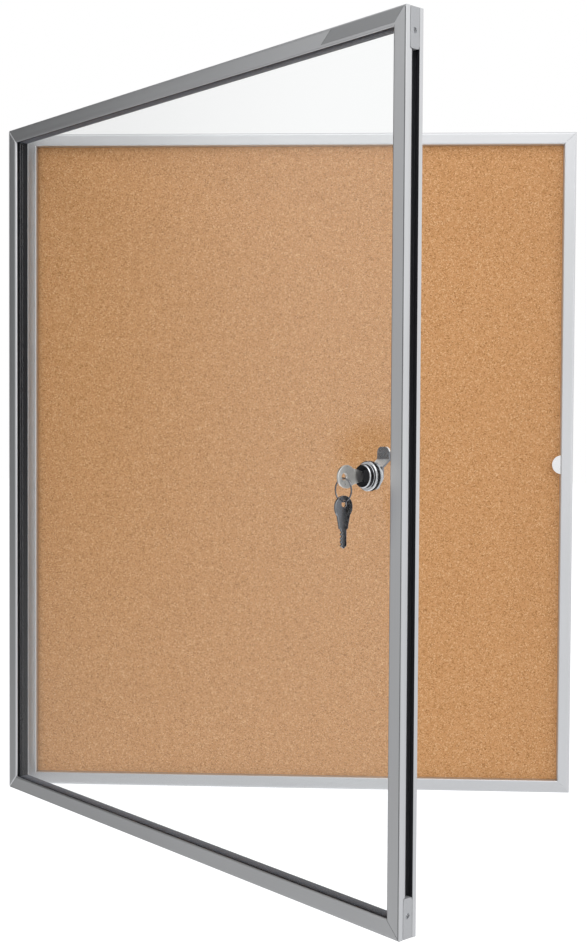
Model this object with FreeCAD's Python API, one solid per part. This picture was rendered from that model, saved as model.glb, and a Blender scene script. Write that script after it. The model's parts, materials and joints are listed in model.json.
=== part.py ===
import FreeCAD, Part
import math
import os

from FreeCAD import Vector

# Lockable notice board: a shallow aluminium case with a cork panel, and a glazed
# door that hangs at its left side and is held shut by a cam lock.
# Millimetres, +Z up, the front looks along -Y, +X to the right.
# The origin is the middle of the lower edge of the back, on the wall face.
# The door stands open and the key is in the lock, as the board was photographed.
# The pieces are drawn about the middle of the back, with the door shut, and are
# moved to the origin and opened at the end.

# Outer sizes of the board
board_width = 560.0
board_height = 670.0

# Case extrusion: how far each part reaches in from the outer side, and its walls
case_depth = 22.0
case_face = 12.5
case_outer_wall = 1.6
case_skin = 1.2
case_edge_radius = 2.4
case_inner_radius = 1.5
cork_recess = 7.5
rib_reach = 9.0
rib_thickness = 1.5
rear_flange_thickness = 1.8

# Panel stack held in the case, from the front
cork_thickness = 3.0
backing_thickness = 3.7
rear_sheet_thickness = 0.8
panel_edge_clearance = 0.4

# Door extrusion, from its back face
door_depth = 17.5
door_face = 13.5
door_gap = 0.3
door_flange = 2.0
door_nose_radius = 1.9
door_edge_radius = 0.5
door_wall = 1.4
door_body_reach = 11.5

# Outer groove of the door extrusion, and the rounded lip in front of it
groove_back = 3.75
groove_mouth = 5.75
groove_undercut = 1.2
groove_floor = 5.4
lip_end = 13.6
lip_step = 0.6
lip_radius = 12.0

# Corner keys that join the mitred bars
door_key_leg = 42.0
case_key_leg = 38.0
key_fit = 0.1

# Glazing
pane_thickness = 3.0
gasket_front = 1.5
gasket_back = 1.0
gasket_web = 1.0
gasket_front_reach = 12.4
gasket_back_reach = 12.4
gasket_skirt_from_back = 1.2
pocket_floor = 7.0

# End plugs and their screws, in the ends of the outer groove
plug_length = 30.0
plug_corner_radius = 2.0
plug_end_gap = 0.1
plug_fit = 0.05
plug_screw_from_end = 17.0
plug_screw_head_radius = 1.9
plug_screw_shank_radius = 1.1
plug_screw_length = 6.6
plug_screw_countersink = 0.9
plug_screw_sunk = 0.25
plug_screw_slot_width = 0.55
plug_screw_slot_depth = 0.45
plug_screw_slot_half = 1.35

# Hinges
hinge_offset = 3.5
hinge_barrel_radius = 3.2
hinge_barrel_length = 12.0
hinge_pin_radius = 1.5
hinge_pin_fit = 0.05
hinge_pin_head_radius = 2.5
hinge_pin_head_height = 1.2
hinge_washer_thickness = 0.8
hinge_leaf_thickness = 2.0
hinge_leaf_length = 30.0
hinge_leaf_reach = 17.0
hinge_clearance = 0.3
hinge_screw_spacing = 16.0
hinge_screw_from_front = 12.0
hinge_screw_radius = 1.5
hinge_screw_head_radius = 2.7
hinge_screw_head_height = 1.6

# Pose of the door in the photograph
rest_opening_deg = 46.0

# Lock, on its own axis; "out" is measured forward from the front of the pane
lock_inset = 39.0
lock_washer_thickness = 0.5
lock_flange_radius = 11.2
lock_flange_thickness = 1.5
lock_head_radius = 8.8
lock_head_out = 6.2
lock_head_bevel = 0.7
lock_body_radius = 8.0
lock_body_back = 9.7
lock_nut_thickness = 3.0
lock_nut_across = 20.0
lock_nut_corner_radius = 10.9
pane_hole_clearance = 0.2
core_radius = 5.5
core_face_radius = 6.6
core_face_depth = 1.6
core_face_sunk = 0.2
core_fit = 0.08
core_shoulder = 0.3
core_tail_square = 6.0
core_tail_length = 1.5

# Wafers inside the lock core
wafer_count = 5
wafer_pitch = 2.3
wafer_first_depth = 3.2
wafer_thickness = 0.8
wafer_width = 5.4
wafer_height = 9.0
wafer_wall = 1.2
wafer_fit = 0.12
spring_radius = 0.6
spring_length = 2.4

# Cam behind the pane
cam_thickness = 1.6
cam_width = 12.6
cam_root_reach = 6.6
cam_joggle_run = 5.4
cam_length = 21.6
cam_tip_radius = 4.5
cam_strike_clearance = 0.3
cam_screw_head_radius = 3.6
cam_screw_head_height = 2.2
cam_screw_radius = 1.9
cam_screw_length = 3.2
cam_screw_socket = 3.2

# Strike that the cam turns behind
strike_radius = 9.5
strike_reach = 8.4
strike_thickness = 1.0
strike_block_height = 26.0
strike_fit = 0.1
strike_screw_radius = 1.5
strike_screw_head_radius = 2.6
strike_screw_length = 4.5

# Keys and their ring
key_thickness = 1.9
key_bow_radius = 8.5
key_hole_radius = 2.5
key_hole_from_end = 6.0
key_hole_bevel = 0.5
key_shoulder_from_end = 24.4
key_neck_half = 6.0
key_shoulder_half = 3.9
key_blade_length = 14.2
key_blade_half = 2.6
key_point_length = 1.8
key_cut_half = 0.85
key_cut_depths = (1.0, 0.8, 1.3, 1.0)
keyway_fit = 0.1
key_shoulder_gap = 0.3
ring_radius = 8.5
ring_wire_radius = 0.7
ring_seat_gap = 0.7
spare_seat_gap = 0.35

# Keyhole hangers on the back
hanger_thickness = 1.5
hanger_width = 40.0
hanger_reach = 40.0
hanger_inset_x = 60.0
hanger_inset_z = 25.0
hanger_entry_radius = 4.75
hanger_slot_radius = 2.4
hanger_slot_length = 9.0
hanger_screw_spacing = 26.0
hanger_screw_inset = 6.6
hanger_screw_radius = 1.5
hanger_screw_head_radius = 2.8
hanger_screw_length = 4.6
hanger_seat_gap = 0.05

# Blank name plate on the top rail of the door
plate_thickness = 0.3
plate_length = 76.0
plate_slant = 11.0
plate_margin = 1.1
plate_end_gap = 2.6

# Worked out from the sizes above
half_width = board_width / 2
half_height = board_height / 2
hanger_spacing_x = board_width - 2 * hanger_inset_x
hanger_spacing_z = board_height - 2 * hanger_inset_z
case_front = -case_depth
door_back = case_front - door_gap
door_front = door_back - door_depth
stack_thickness = cork_thickness + backing_thickness + rear_sheet_thickness
rib_front = cork_recess + stack_thickness
channel_front = rib_front + rib_thickness
channel_back = case_depth - rear_flange_thickness
pocket_front = door_depth - door_flange
pocket_back = pocket_front - gasket_front - pane_thickness - gasket_back
pane_back = pocket_back + gasket_back
pane_front = pane_back + pane_thickness
pane_front_y = door_back - pane_front
door_chamber = (groove_floor + door_wall, door_body_reach - door_wall,
                door_wall, pocket_back - door_wall)
case_chamber = (case_outer_wall, case_face - case_skin, case_skin, cork_recess - case_skin)
door_front_chamber = (lip_step + door_wall, pocket_floor - door_wall,
                      groove_back + groove_mouth + groove_undercut + door_wall,
                      door_depth - door_wall)
groove_front = groove_back + groove_mouth
groove_middle = (groove_back + lip_end) / 2
hinge_x = -half_width - hinge_offset
hinge_y = (case_front + door_back) / 2
hinge_axis = Vector(hinge_x, hinge_y, 0)
lock_x = half_width - lock_inset
lock_axis = Vector(lock_x, pane_front_y, 0)
from_middle = Vector(0, 0, half_height)
up = Vector(0, 0, 1)
forward = Vector(0, -1, 0)
big = 4 * board_height

nodes = {}


def keep(name, shape):
    """Store a sub-part under the name of its node."""
    nodes[name] = shape


def face_from(corners, to_space):
    """Flat face inside a closed outline.

    A corner is a point, or a pair of points: an arc through the first to the second.
    """
    def is_arc(corner):
        return isinstance(corner[0], tuple)

    def end(corner):
        return corner[1] if is_arc(corner) else corner

    edges = []
    last = end(corners[-1])
    for corner in corners:
        here = end(corner)
        start, finish = to_space(*last), to_space(*here)
        if is_arc(corner):
            edges.append(Part.Arc(start, to_space(*corner[0]), finish).toShape())
        elif (finish - start).Length > 1e-6:
            edges.append(Part.LineSegment(start, finish).toShape())
        last = here
    return Part.Face(Part.Wire(edges))


def cylinder(radius, length, start, along):
    """Round bar from a start point in a direction."""
    return Part.makeCylinder(radius, length, start, along)


def box(x0, x1, y0, y1, z0, z1):
    """Box between two limits on each axis, given in either order."""
    x0, x1 = sorted((x0, x1))
    y0, y1 = sorted((y0, y1))
    z0, z1 = sorted((z0, z1))
    return Part.makeBox(x1 - x0, y1 - y0, z1 - z0, Vector(x0, y0, z0))


def quarter_arc(centre, radius, start_deg, end_deg):
    """Arc step for an outline: its middle point and its end point."""
    def at(angle):
        turn = math.radians(angle)
        return (centre[0] + radius * math.cos(turn), centre[1] + radius * math.sin(turn))
    return (at((start_deg + end_deg) / 2), at(end_deg))


# The four sides of a mitred frame, each a quarter turn on from the one before
side_names = ("bottom_rail", "lock_stile", "top_rail", "hinge_stile")
side_corners = {
    "bottom_rail": (-half_width, -half_height),
    "lock_stile": (half_width, -half_height),
    "top_rail": (half_width, half_height),
    "hinge_stile": (-half_width, half_height),
}
corner_names = {
    "bottom_rail": "bottom_left",
    "lock_stile": "bottom_right",
    "top_rail": "top_right",
    "hinge_stile": "top_left",
}


def to_side(shape, side):
    """Turn a piece made at the lower left corner, along the bottom, to a side."""
    moved = shape.copy()
    moved.rotate(Vector(0, 0, 0), Vector(0, 1, 0), -90 * side_names.index(side))
    x, z = side_corners[side]
    moved.translate(Vector(x, 0, z))
    return moved


def side_length(side):
    """Outer length of a side of the board."""
    return board_width if side.endswith("rail") else board_height


def mitred_bar(section, side, reach):
    """Length of extrusion cut at 45 degrees at both ends."""
    length = side_length(side)
    bar = section.extrude(Vector(length, 0, 0))
    corners = [(0, 0), (length, 0), (length - reach, reach), (reach, reach)]
    keeper = face_from(corners, lambda x, z: Vector(x, -big, z)).extrude(Vector(0, 2 * big, 0))
    return to_side(bar.common(keeper), side)


def corner_key(chamber, leg, y_of):
    """Angle piece that fills the hollow of two bars where they meet."""
    near, far, low, high = chamber
    near, far = near + key_fit, far - key_fit
    y0, y1 = y_of(low + key_fit), y_of(high - key_fit)
    flat = box(near, far + leg, y0, y1, near, far)
    upright = box(near, far, y0, y1, near, far + leg)
    return flat.fuse(upright).removeSplitter()


# Case extrusion and its four bars

def case_y(depth):
    """Y of a depth behind the case's front plane."""
    return case_front + depth


def case_section():
    """Section of the case extrusion: front box, panel pocket, rear channel."""
    r = case_edge_radius
    inner = case_inner_radius
    outline = [
        (0, r),
        quarter_arc((r, r), r, 180, 270),
        (case_face - inner, 0),
        quarter_arc((case_face - inner, inner), inner, 270, 360),
        (case_face, cork_recess),
        (case_outer_wall, cork_recess),
        (case_outer_wall, rib_front),
        (rib_reach, rib_front),
        (rib_reach, channel_front),
        (case_outer_wall, channel_front),
        (case_outer_wall, channel_back),
        (case_face, channel_back),
        (case_face, case_depth),
        (0, case_depth),
    ]
    near, far, low, high = case_chamber
    hollow = [(near, low), (far, low), (far, high), (near, high)]

    def in_space(u, depth):
        return Vector(0, case_y(depth), u)

    return face_from(outline, in_space).cut(face_from(hollow, in_space))


def strike_pieces():
    """Die-cast strike in the hollow of the lock stile, with a half-round tongue."""
    near, far, low, high = case_chamber
    top = low + strike_fit
    inner_side = half_width - case_face
    centre_x = inner_side - strike_reach + strike_radius
    y0, y1 = case_y(top), case_y(top + strike_thickness)
    disc = cylinder(strike_radius, strike_thickness, Vector(centre_x, y0, 0), Vector(0, 1, 0))
    block_half = strike_block_height / 2
    outer_x = half_width - far + strike_fit
    tongue = disc.common(box(0, outer_x, y0, y1, -block_half, block_half))
    block = box(outer_x, half_width - near - strike_fit, y0, case_y(high - strike_fit),
                -block_half, block_half)
    strike = tongue.fuse(block).removeSplitter()
    screw_x = half_width - (near + far) / 2
    screw_y = case_y(cork_recess)
    shank = cylinder(strike_screw_radius, strike_screw_length, Vector(screw_x, screw_y, 0), forward)
    head = Part.makeCone(strike_screw_head_radius, strike_screw_radius, case_skin,
                         Vector(screw_x, screw_y, 0), forward)
    screw = shank.fuse(head)
    slot = box(inner_side - 1, outer_x, case_y(low), case_y(top + strike_thickness + strike_fit),
               -strike_radius - strike_fit, strike_radius + strike_fit)
    return strike.cut(screw), screw, slot


def make_case():
    """Four mitred bars and the keys in their corners."""
    section = case_section()
    strike, strike_screw, strike_slot = strike_pieces()
    keep("strike", strike)
    keep("strike_screw", strike_screw)
    for side in side_names:
        bar = mitred_bar(section, side, case_face)
        if side == "lock_stile":
            bar = bar.cut(strike_slot).cut(strike_screw)
        if side == "hinge_stile":
            for screw in case_leaf_screws():
                bar = bar.cut(screw)
        for screw in hanger_screws():
            if screw.BoundBox.intersect(bar.BoundBox):
                bar = bar.cut(screw)
        keep("case_" + side, bar)
        key = to_side(corner_key(case_chamber, case_key_leg, case_y), side)
        keep("case_corner_key_" + corner_names[side], key)


def make_panel():
    """Cork, its backing board and the steel sheet behind them."""
    inset = case_outer_wall + panel_edge_clearance
    x, z = half_width - inset, half_height - inset
    depth = cork_recess
    layers = [
        ("cork_sheet", cork_thickness),
        ("backing_board", backing_thickness),
        ("rear_sheet", rear_sheet_thickness),
    ]
    for name, thickness in layers:
        keep(name, box(-x, x, case_y(depth), case_y(depth + thickness), -z, z))
        depth += thickness


# Keyhole hangers

def hanger_places():
    """Centre of each keyhole slot, with the rail that carries it."""
    places = []
    for row, rail in ((1, "top"), (-1, "bottom")):
        for column, end in ((-1, "left"), (1, "right")):
            centre = (column * hanger_spacing_x / 2, row * hanger_spacing_z / 2)
            places.append((rail + "_" + end, row, centre))
    return places


def hanger_screw_places(row, x):
    """Positions of the two screws of one hanger, on the rear flange."""
    z = row * (half_height - hanger_screw_inset)
    return [(x - hanger_screw_spacing / 2, z), (x + hanger_screw_spacing / 2, z)]


def hanger_screws():
    """Countersunk screws from the back through the rear flange."""
    screws = []
    for _, row, (x, _) in hanger_places():
        for screw_x, screw_z in hanger_screw_places(row, x):
            start = Vector(screw_x, 0, screw_z)
            shank = cylinder(hanger_screw_radius, hanger_screw_length, start, forward)
            head = Part.makeCone(hanger_screw_head_radius, hanger_screw_radius,
                                 rear_flange_thickness, start, forward)
            screws.append(shank.fuse(head).removeSplitter())
    return screws


def make_hangers():
    """Steel plates with a keyhole each, behind the top and the bottom rail."""
    back = case_y(channel_back - hanger_seat_gap)
    front = back - hanger_thickness
    screws = hanger_screws()
    for name, row, (x, z) in hanger_places():
        outer = row * (half_height - case_outer_wall - panel_edge_clearance)
        inner = row * (half_height - hanger_reach)
        plate = box(x - hanger_width / 2, x + hanger_width / 2, front, back, inner, outer)
        slot_top = Vector(x, front - 1, z + hanger_slot_length / 2)
        entry = Vector(x, front - 1, z - hanger_slot_length / 2)
        through = hanger_thickness + 2
        plate = plate.cut(cylinder(hanger_entry_radius, through, entry, Vector(0, 1, 0)))
        plate = plate.cut(cylinder(hanger_slot_radius, through, slot_top, Vector(0, 1, 0)))
        plate = plate.cut(box(x - hanger_slot_radius, x + hanger_slot_radius,
                              front - 1, back + 1, entry.z, slot_top.z))
        for screw in screws:
            if screw.BoundBox.intersect(plate.BoundBox):
                plate = plate.cut(screw)
        keep("wall_hanger_" + name, plate)
    keep("hanger_screws", Part.makeCompound(screws))


# Door extrusion, glazing and the fittings in its outer groove

def door_y(rise):
    """Y of a height above the door's back plane, with the door shut."""
    return door_back - rise


def lip_depth(rise):
    """How far the rounded lip lies behind the outer side at a height above the back."""
    fall = lip_end - rise
    return lip_step + lip_radius - math.sqrt(lip_radius ** 2 - fall ** 2)


def door_section():
    """Section of the door extrusion: flange, glazing pocket, body, outer groove."""
    nose = door_nose_radius
    edge = door_edge_radius
    lip_middle = (lip_end + groove_front) / 2
    neck = lip_depth(groove_front) + groove_undercut
    outline = [
        (0, 0),
        (0, groove_back),
        (neck, groove_back),
        (neck, groove_back - groove_undercut),
        (groove_floor, groove_back - groove_undercut),
        (groove_floor, groove_front + groove_undercut),
        (neck, groove_front + groove_undercut),
        (neck, groove_front),
        (lip_depth(groove_front), groove_front),
        ((lip_depth(lip_middle), lip_middle), (lip_step, lip_end)),
        (0, lip_end),
        (0, door_depth - edge),
        quarter_arc((edge, door_depth - edge), edge, 180, 90),
        (door_face - nose, door_depth),
        quarter_arc((door_face - nose, door_depth - nose), nose, 90, 0),
        (door_face, pocket_front),
        (pocket_floor, pocket_front),
        (pocket_floor, pocket_back),
        (door_body_reach, pocket_back),
        (door_body_reach, 0),
    ]

    def in_space(u, rise):
        return Vector(0, door_y(rise), u)

    section = face_from(outline, in_space)
    for near, far, low, high in (door_chamber, door_front_chamber):
        hollow = [(near, low), (far, low), (far, high), (near, high)]
        section = section.cut(face_from(hollow, in_space))
    return section


def gasket_section():
    """Section of the rubber channel that grips the pane, with the skirt behind it."""
    floor = pocket_floor
    outline = [
        (floor, pocket_back),
        (door_body_reach, pocket_back),
        (door_body_reach, gasket_skirt_from_back),
        (gasket_back_reach, gasket_skirt_from_back),
        (gasket_back_reach, pane_back),
        (floor + gasket_web, pane_back),
        (floor + gasket_web, pane_front),
        (gasket_front_reach, pane_front),
        (gasket_front_reach, pocket_front),
        (floor, pocket_front),
    ]
    return face_from(outline, lambda u, rise: Vector(0, door_y(rise), u))


def groove_filler(length):
    """Solid that fills the mouth of the outer groove, flush with the side."""
    start = lip_end - plug_fit
    back = groove_back + plug_fit
    front = groove_front - plug_fit
    mid = (start + front) / 2
    bottom = lip_depth(groove_front) + groove_undercut
    outline = [
        (0, back),
        (bottom, back),
        (bottom, front),
        (lip_depth(front) - plug_fit, front),
        ((lip_depth(mid) - plug_fit, mid), (lip_step - plug_fit, start)),
        (0, start),
    ]
    face = face_from(outline, lambda u, rise: Vector(0, door_y(rise), u))
    return face.extrude(Vector(length, 0, 0))


def plug_screw(from_end):
    """Countersunk screw at the outer side, at the start of a bottom bar."""
    start = Vector(from_end, door_y(groove_middle), plug_screw_sunk)
    head = Part.makeCone(plug_screw_head_radius, plug_screw_shank_radius,
                         plug_screw_countersink, start, up)
    shank = cylinder(plug_screw_shank_radius, plug_screw_length, start, up)
    screw = head.fuse(shank).removeSplitter()
    arm = plug_screw_slot_half
    thin = plug_screw_slot_width / 2
    for half_x, half_y in ((arm, thin), (thin, arm)):
        screw = screw.cut(box(start.x - half_x, start.x + half_x, start.y - half_y,
                              start.y + half_y, 0, start.z + plug_screw_slot_depth))
    return screw


def groove_plug():
    """End plug with two rounded corners, at the start of a bottom bar."""
    r = plug_corner_radius
    front, back = door_y(lip_end) + r, door_y(groove_back) - r
    keeper = box(plug_end_gap, plug_length - r, door_front, door_back, -1, door_body_reach)
    keeper = keeper.fuse(box(plug_end_gap, plug_length, front, back, -1, door_body_reach))
    for y in (front, back):
        corner = cylinder(r, door_body_reach + 1, Vector(plug_length - r, y, -1), up)
        keeper = keeper.fuse(corner)
    return groove_filler(plug_length).common(keeper)


def screw_hole(from_end):
    """Room for a plug screw, with the short bore above its head."""
    start = Vector(from_end, door_y(groove_middle), plug_screw_sunk)
    head = Part.makeCone(plug_screw_head_radius, plug_screw_shank_radius,
                         plug_screw_countersink, start, up)
    shank = cylinder(plug_screw_shank_radius, plug_screw_length, start, up)
    bore = cylinder(plug_screw_head_radius, 1 + plug_screw_sunk, start, -up)
    return head.fuse([shank, bore])


def at_start(shape, side):
    """Place a fitting at the end of a side where that side starts."""
    return to_side(shape, side)


def at_finish(shape, side):
    """Place a fitting at the other end of a side."""
    mirrored = shape.mirror(Vector(side_length(side) / 2, 0, 0), Vector(1, 0, 0))
    return to_side(mirrored, side)


def make_door_frame():
    """Four mitred bars, their corner keys, the rubber channel and the pane."""
    section = door_section()
    rubber = gasket_section()
    hole = screw_hole(plug_screw_from_end)
    for side in side_names:
        bar = mitred_bar(section, side, door_face)
        if side.endswith("stile"):
            bar = bar.cut(at_start(hole, side)).cut(at_finish(hole, side))
        keep("door_" + side, bar)
        key = to_side(corner_key(door_chamber, door_key_leg, door_y), side)
        keep("door_corner_key_" + corner_names[side], key)
        keep("gasket_" + side, mitred_bar(rubber, side, door_face))
    inset = pocket_floor + gasket_web
    x, z = half_width - inset, half_height - inset
    pane = box(-x, x, door_y(pane_back), door_y(pane_front), -z, z)
    hole_radius = lock_body_radius + pane_hole_clearance
    pane = pane.cut(cylinder(hole_radius, 3 * pane_thickness,
                             lock_axis - forward * 2 * pane_thickness, forward))
    keep("pane", pane)


def make_plugs():
    """Plugs at both ends of the lock stile, each with its screw."""
    hole = screw_hole(plug_screw_from_end)
    plug = groove_plug().cut(hole)
    screw = plug_screw(plug_screw_from_end)
    keep("lower_end_plug", at_start(plug, "lock_stile"))
    keep("upper_end_plug", at_finish(plug, "lock_stile"))
    keep("plug_screws", Part.makeCompound(
        [at_start(screw, "lock_stile"), at_finish(screw, "lock_stile")]))


def make_name_plate():
    """Thin blank plate on the top rail, beside the mitre, with one slanted end."""
    top = half_height - plate_margin
    bottom = half_height - door_face + door_nose_radius + plate_margin
    right_top = half_width - plate_end_gap
    right_bottom = right_top - (top - bottom)
    corners = [
        (right_top, top),
        (right_bottom, bottom),
        (right_top - plate_length - plate_slant, bottom),
        (right_top - plate_length, top),
    ]
    face = face_from(corners, lambda x, z: Vector(x, door_front, z))
    keep("name_plate", face.extrude(forward * plate_thickness))


# Hinges: the upper and the lower one are alike, at the ends of the hinge stile

def hinge_levels():
    """Lowest and highest point of the leaves of each hinge."""
    end = half_height - plug_end_gap
    return {
        "upper": (end - hinge_leaf_length, end),
        "lower": (-end, hinge_leaf_length - end),
    }


def case_leaf_screws():
    """Screws that hold the case leaves to the outer side of the hinge stile."""
    screws = []
    start_x = -half_width - hinge_leaf_thickness
    start_y = case_y(hinge_screw_from_front)
    inward = Vector(1, 0, 0)
    for low, high in hinge_levels().values():
        middle = (low + high) / 2
        for z in (middle - hinge_screw_spacing / 2, middle + hinge_screw_spacing / 2):
            start = Vector(start_x, start_y, z)
            head = Part.makeCone(hinge_screw_head_radius, hinge_screw_radius,
                                 hinge_screw_head_height, start, inward)
            shank = cylinder(hinge_screw_radius, hinge_leaf_thickness + case_outer_wall,
                             start, inward)
            screws.append(head.fuse(shank).removeSplitter())
    return screws


def barrel(bottom, height, bore):
    """Hinge barrel on the hinge axis."""
    start = Vector(hinge_x, hinge_y, bottom)
    outer = cylinder(hinge_barrel_radius, height, start, up)
    return outer.cut(cylinder(bore, height + 2, start - up, up))


def case_leaf(low, high, meet):
    """Leaf screwed to the case, with the lower barrel."""
    edge = -half_width
    clear = hinge_barrel_radius + hinge_clearance
    barrel_low = meet - hinge_barrel_length
    plate = box(edge - hinge_leaf_thickness, edge, hinge_y + clear, case_y(hinge_leaf_reach),
                low, high)
    web = box(hinge_x, edge, case_y(hinge_clearance), hinge_y + clear, barrel_low, meet)
    room = cylinder(hinge_pin_radius, board_height, Vector(hinge_x, hinge_y, -half_height), up)
    leaf = plate.fuse(web).fuse(barrel(barrel_low, hinge_barrel_length, hinge_pin_radius))
    leaf = leaf.cut(room)
    for screw in case_leaf_screws():
        leaf = leaf.cut(screw)
    return leaf.removeSplitter()


def door_leaf(low, high, meet, side_end):
    """Leaf that fills the outer groove of the door stile, with the upper barrel."""
    edge = -half_width
    clear = hinge_barrel_radius + hinge_clearance
    bore = hinge_pin_radius + hinge_pin_fit
    lug = box(edge - hinge_leaf_thickness, edge, hinge_y - clear,
              door_y(lip_end - plug_fit), low, high)
    web = box(hinge_x, edge, hinge_y - clear, door_y(hinge_clearance), meet,
              meet + hinge_barrel_length)
    room = cylinder(bore, board_height, Vector(hinge_x, hinge_y, -half_height), up)
    leaf = web.fuse(barrel(meet, hinge_barrel_length, bore)).cut(room)
    leaf = leaf.fuse(lug).fuse(side_end(groove_plug(), "hinge_stile"))
    hole = side_end(screw_hole(plug_screw_from_end), "hinge_stile")
    hole.translate(Vector(-hinge_leaf_thickness, 0, 0))
    return leaf.cut(hole).removeSplitter()


def make_hinges():
    """Case leaf, pin, washer and door leaf of both hinges."""
    bore = hinge_pin_radius + hinge_pin_fit
    washers = []
    door_screws = []
    for level, (low, high) in hinge_levels().items():
        middle = (low + high) / 2
        washer_low = middle - hinge_washer_thickness / 2
        washer_high = middle + hinge_washer_thickness / 2
        side_end = at_finish if level == "lower" else at_start
        keep(level + "_hinge_case_leaf", case_leaf(low, high, washer_low))
        keep(level + "_hinge_door_leaf", door_leaf(low, high, washer_high, side_end))
        washers.append(barrel(washer_low, hinge_washer_thickness, bore))
        pin_low = washer_low - hinge_barrel_length
        pin_high = washer_high + hinge_barrel_length + hinge_clearance
        pin = cylinder(hinge_pin_radius, pin_high - pin_low, Vector(hinge_x, hinge_y, pin_low), up)
        cap = cylinder(hinge_pin_head_radius, hinge_pin_head_height,
                       Vector(hinge_x, hinge_y, pin_high), up)
        keep(level + "_hinge_pin", pin.fuse(cap).removeSplitter())
        screw = side_end(plug_screw(plug_screw_from_end), "hinge_stile")
        screw.translate(Vector(-hinge_leaf_thickness, 0, 0))
        door_screws.append(screw)
    keep("hinge_case_screws", Part.makeCompound(case_leaf_screws()))
    keep("hinge_washers", Part.makeCompound(washers))
    keep("hinge_door_screws", Part.makeCompound(door_screws))


# Cam lock

def at_lock(out, side=0.0, height=0.0):
    """Point at the lock: forward from the pane, to the right and up."""
    return lock_axis + forward * out + Vector(side, 0, height)


def turned(outline):
    """Solid of revolution about the lock axis from (radius, out) corners."""
    face = face_from(outline, lambda radius, out: at_lock(out, radius))
    return face.revolve(lock_axis, forward, 360)


def lock_disc(radius, out_from, out_to):
    """Disc on the lock axis between two distances from the pane."""
    return cylinder(radius, out_to - out_from, at_lock(out_from), forward)


def hexagon(across, out_from, out_to):
    """Six-sided prism on the lock axis."""
    corner = across / math.sqrt(3)
    points = []
    for step in range(6):
        turn = math.radians(60 * step)
        points.append((corner * math.cos(turn), corner * math.sin(turn)))
    face = face_from(points, lambda x, z: at_lock(out_from, x, z))
    return face.extrude(forward * (out_to - out_from))


core_front = lock_head_out - core_face_sunk
core_back = -lock_body_back - core_shoulder
tail_back = core_back - core_tail_length
cam_front = core_back
keyway_back = core_front + key_shoulder_gap - key_blade_length - keyway_fit * 2


def make_lock_body():
    """Fixed part of the lock in the pane: housing, washers and nut."""
    bevel = lock_head_bevel
    flange_back = lock_washer_thickness
    flange_front = flange_back + lock_flange_thickness
    bore = core_radius + core_fit
    face_bore = core_face_radius + core_fit
    face_floor = core_front - core_face_depth - core_fit
    outline = [
        (bore, -lock_body_back),
        (lock_body_radius, -lock_body_back),
        (lock_body_radius, flange_back),
        (lock_flange_radius, flange_back),
        (lock_flange_radius, flange_front - bevel),
        (lock_flange_radius - bevel, flange_front),
        (lock_head_radius, flange_front),
        (lock_head_radius, lock_head_out - bevel),
        (lock_head_radius - bevel, lock_head_out),
        (face_bore, lock_head_out),
        (face_bore, face_floor),
        (bore, face_floor),
    ]
    keep("lock_housing", turned(outline))
    washer = lock_disc(lock_flange_radius - bevel / 2, 0, lock_washer_thickness)
    keep("lock_front_washer", washer.cut(lock_disc(lock_body_radius, -1, 1)))
    back = -pane_thickness
    rear = lock_disc(lock_flange_radius, back - lock_washer_thickness, back)
    keep("lock_rear_washer", rear.cut(lock_disc(lock_body_radius, back - 2, back + 1)))
    nut_front = back - lock_washer_thickness
    nut = hexagon(lock_nut_across, nut_front - lock_nut_thickness, nut_front)
    nut = nut.common(lock_disc(lock_nut_corner_radius, nut_front - lock_nut_thickness, nut_front))
    keep("lock_nut", nut.cut(lock_disc(lock_body_radius, nut_front - 2 * lock_nut_thickness,
                                       nut_front + 1)))


def wafer_outs():
    """Place of each wafer along the lock axis."""
    first = core_front - wafer_first_depth
    return [first - step * wafer_pitch for step in range(wafer_count)]


def make_lock_core():
    """Turning core with its keyway and tail, and the wafers in it."""
    core = lock_disc(core_radius, core_back, core_front)
    core = core.fuse(lock_disc(core_face_radius, core_front - core_face_depth, core_front))
    half_tail = core_tail_square / 2
    tail = box(lock_x - half_tail, lock_x + half_tail, at_lock(core_back).y, at_lock(tail_back).y,
               -half_tail, half_tail)
    core = core.fuse(tail)
    half_x = key_thickness / 2 + keyway_fit
    half_z = key_blade_half + keyway_fit
    core = core.cut(box(lock_x - half_x, lock_x + half_x, at_lock(keyway_back).y,
                        at_lock(core_front + 1).y, -half_z, half_z))
    wafers, springs = [], []
    room_x = wafer_width / 2 + wafer_fit
    room_z = wafer_height / 2 + wafer_fit
    for out in wafer_outs():
        thin = wafer_thickness / 2
        y0, y1 = at_lock(out - thin).y, at_lock(out + thin).y
        room = thin + wafer_fit
        core = core.cut(box(lock_x - room_x, lock_x + room_x, at_lock(out - room).y,
                            at_lock(out + room).y, -room_z, room_z))
        wafer = box(lock_x - wafer_width / 2, lock_x + wafer_width / 2, y0, y1,
                    -wafer_height / 2, wafer_height / 2)
        window_x = wafer_width / 2 - wafer_wall
        window_z = wafer_height / 2 - wafer_wall
        wafers.append(wafer.cut(box(lock_x - window_x, lock_x + window_x, y0 - 1, y1 + 1,
                                    -window_z, window_z)))
        pocket_x = lock_x + wafer_width / 2 + spring_radius + 2 * wafer_fit
        start = Vector(pocket_x, at_lock(out).y, -spring_length / 2)
        core = core.cut(cylinder(spring_radius + wafer_fit, spring_length + 2 * wafer_fit,
                                 start - up * wafer_fit, up))
        springs.append(cylinder(spring_radius, spring_length, start, up))
    keep("lock_core", core.cut(cam_screw_shank()).removeSplitter())
    keep("lock_wafers", Part.makeCompound(wafers))
    keep("wafer_springs", Part.makeCompound(springs))


def cam_screw_shank():
    """Shank of the screw that holds the cam on the tail."""
    return cylinder(cam_screw_radius, cam_screw_length, at_lock(cam_front - cam_thickness), forward)


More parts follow.
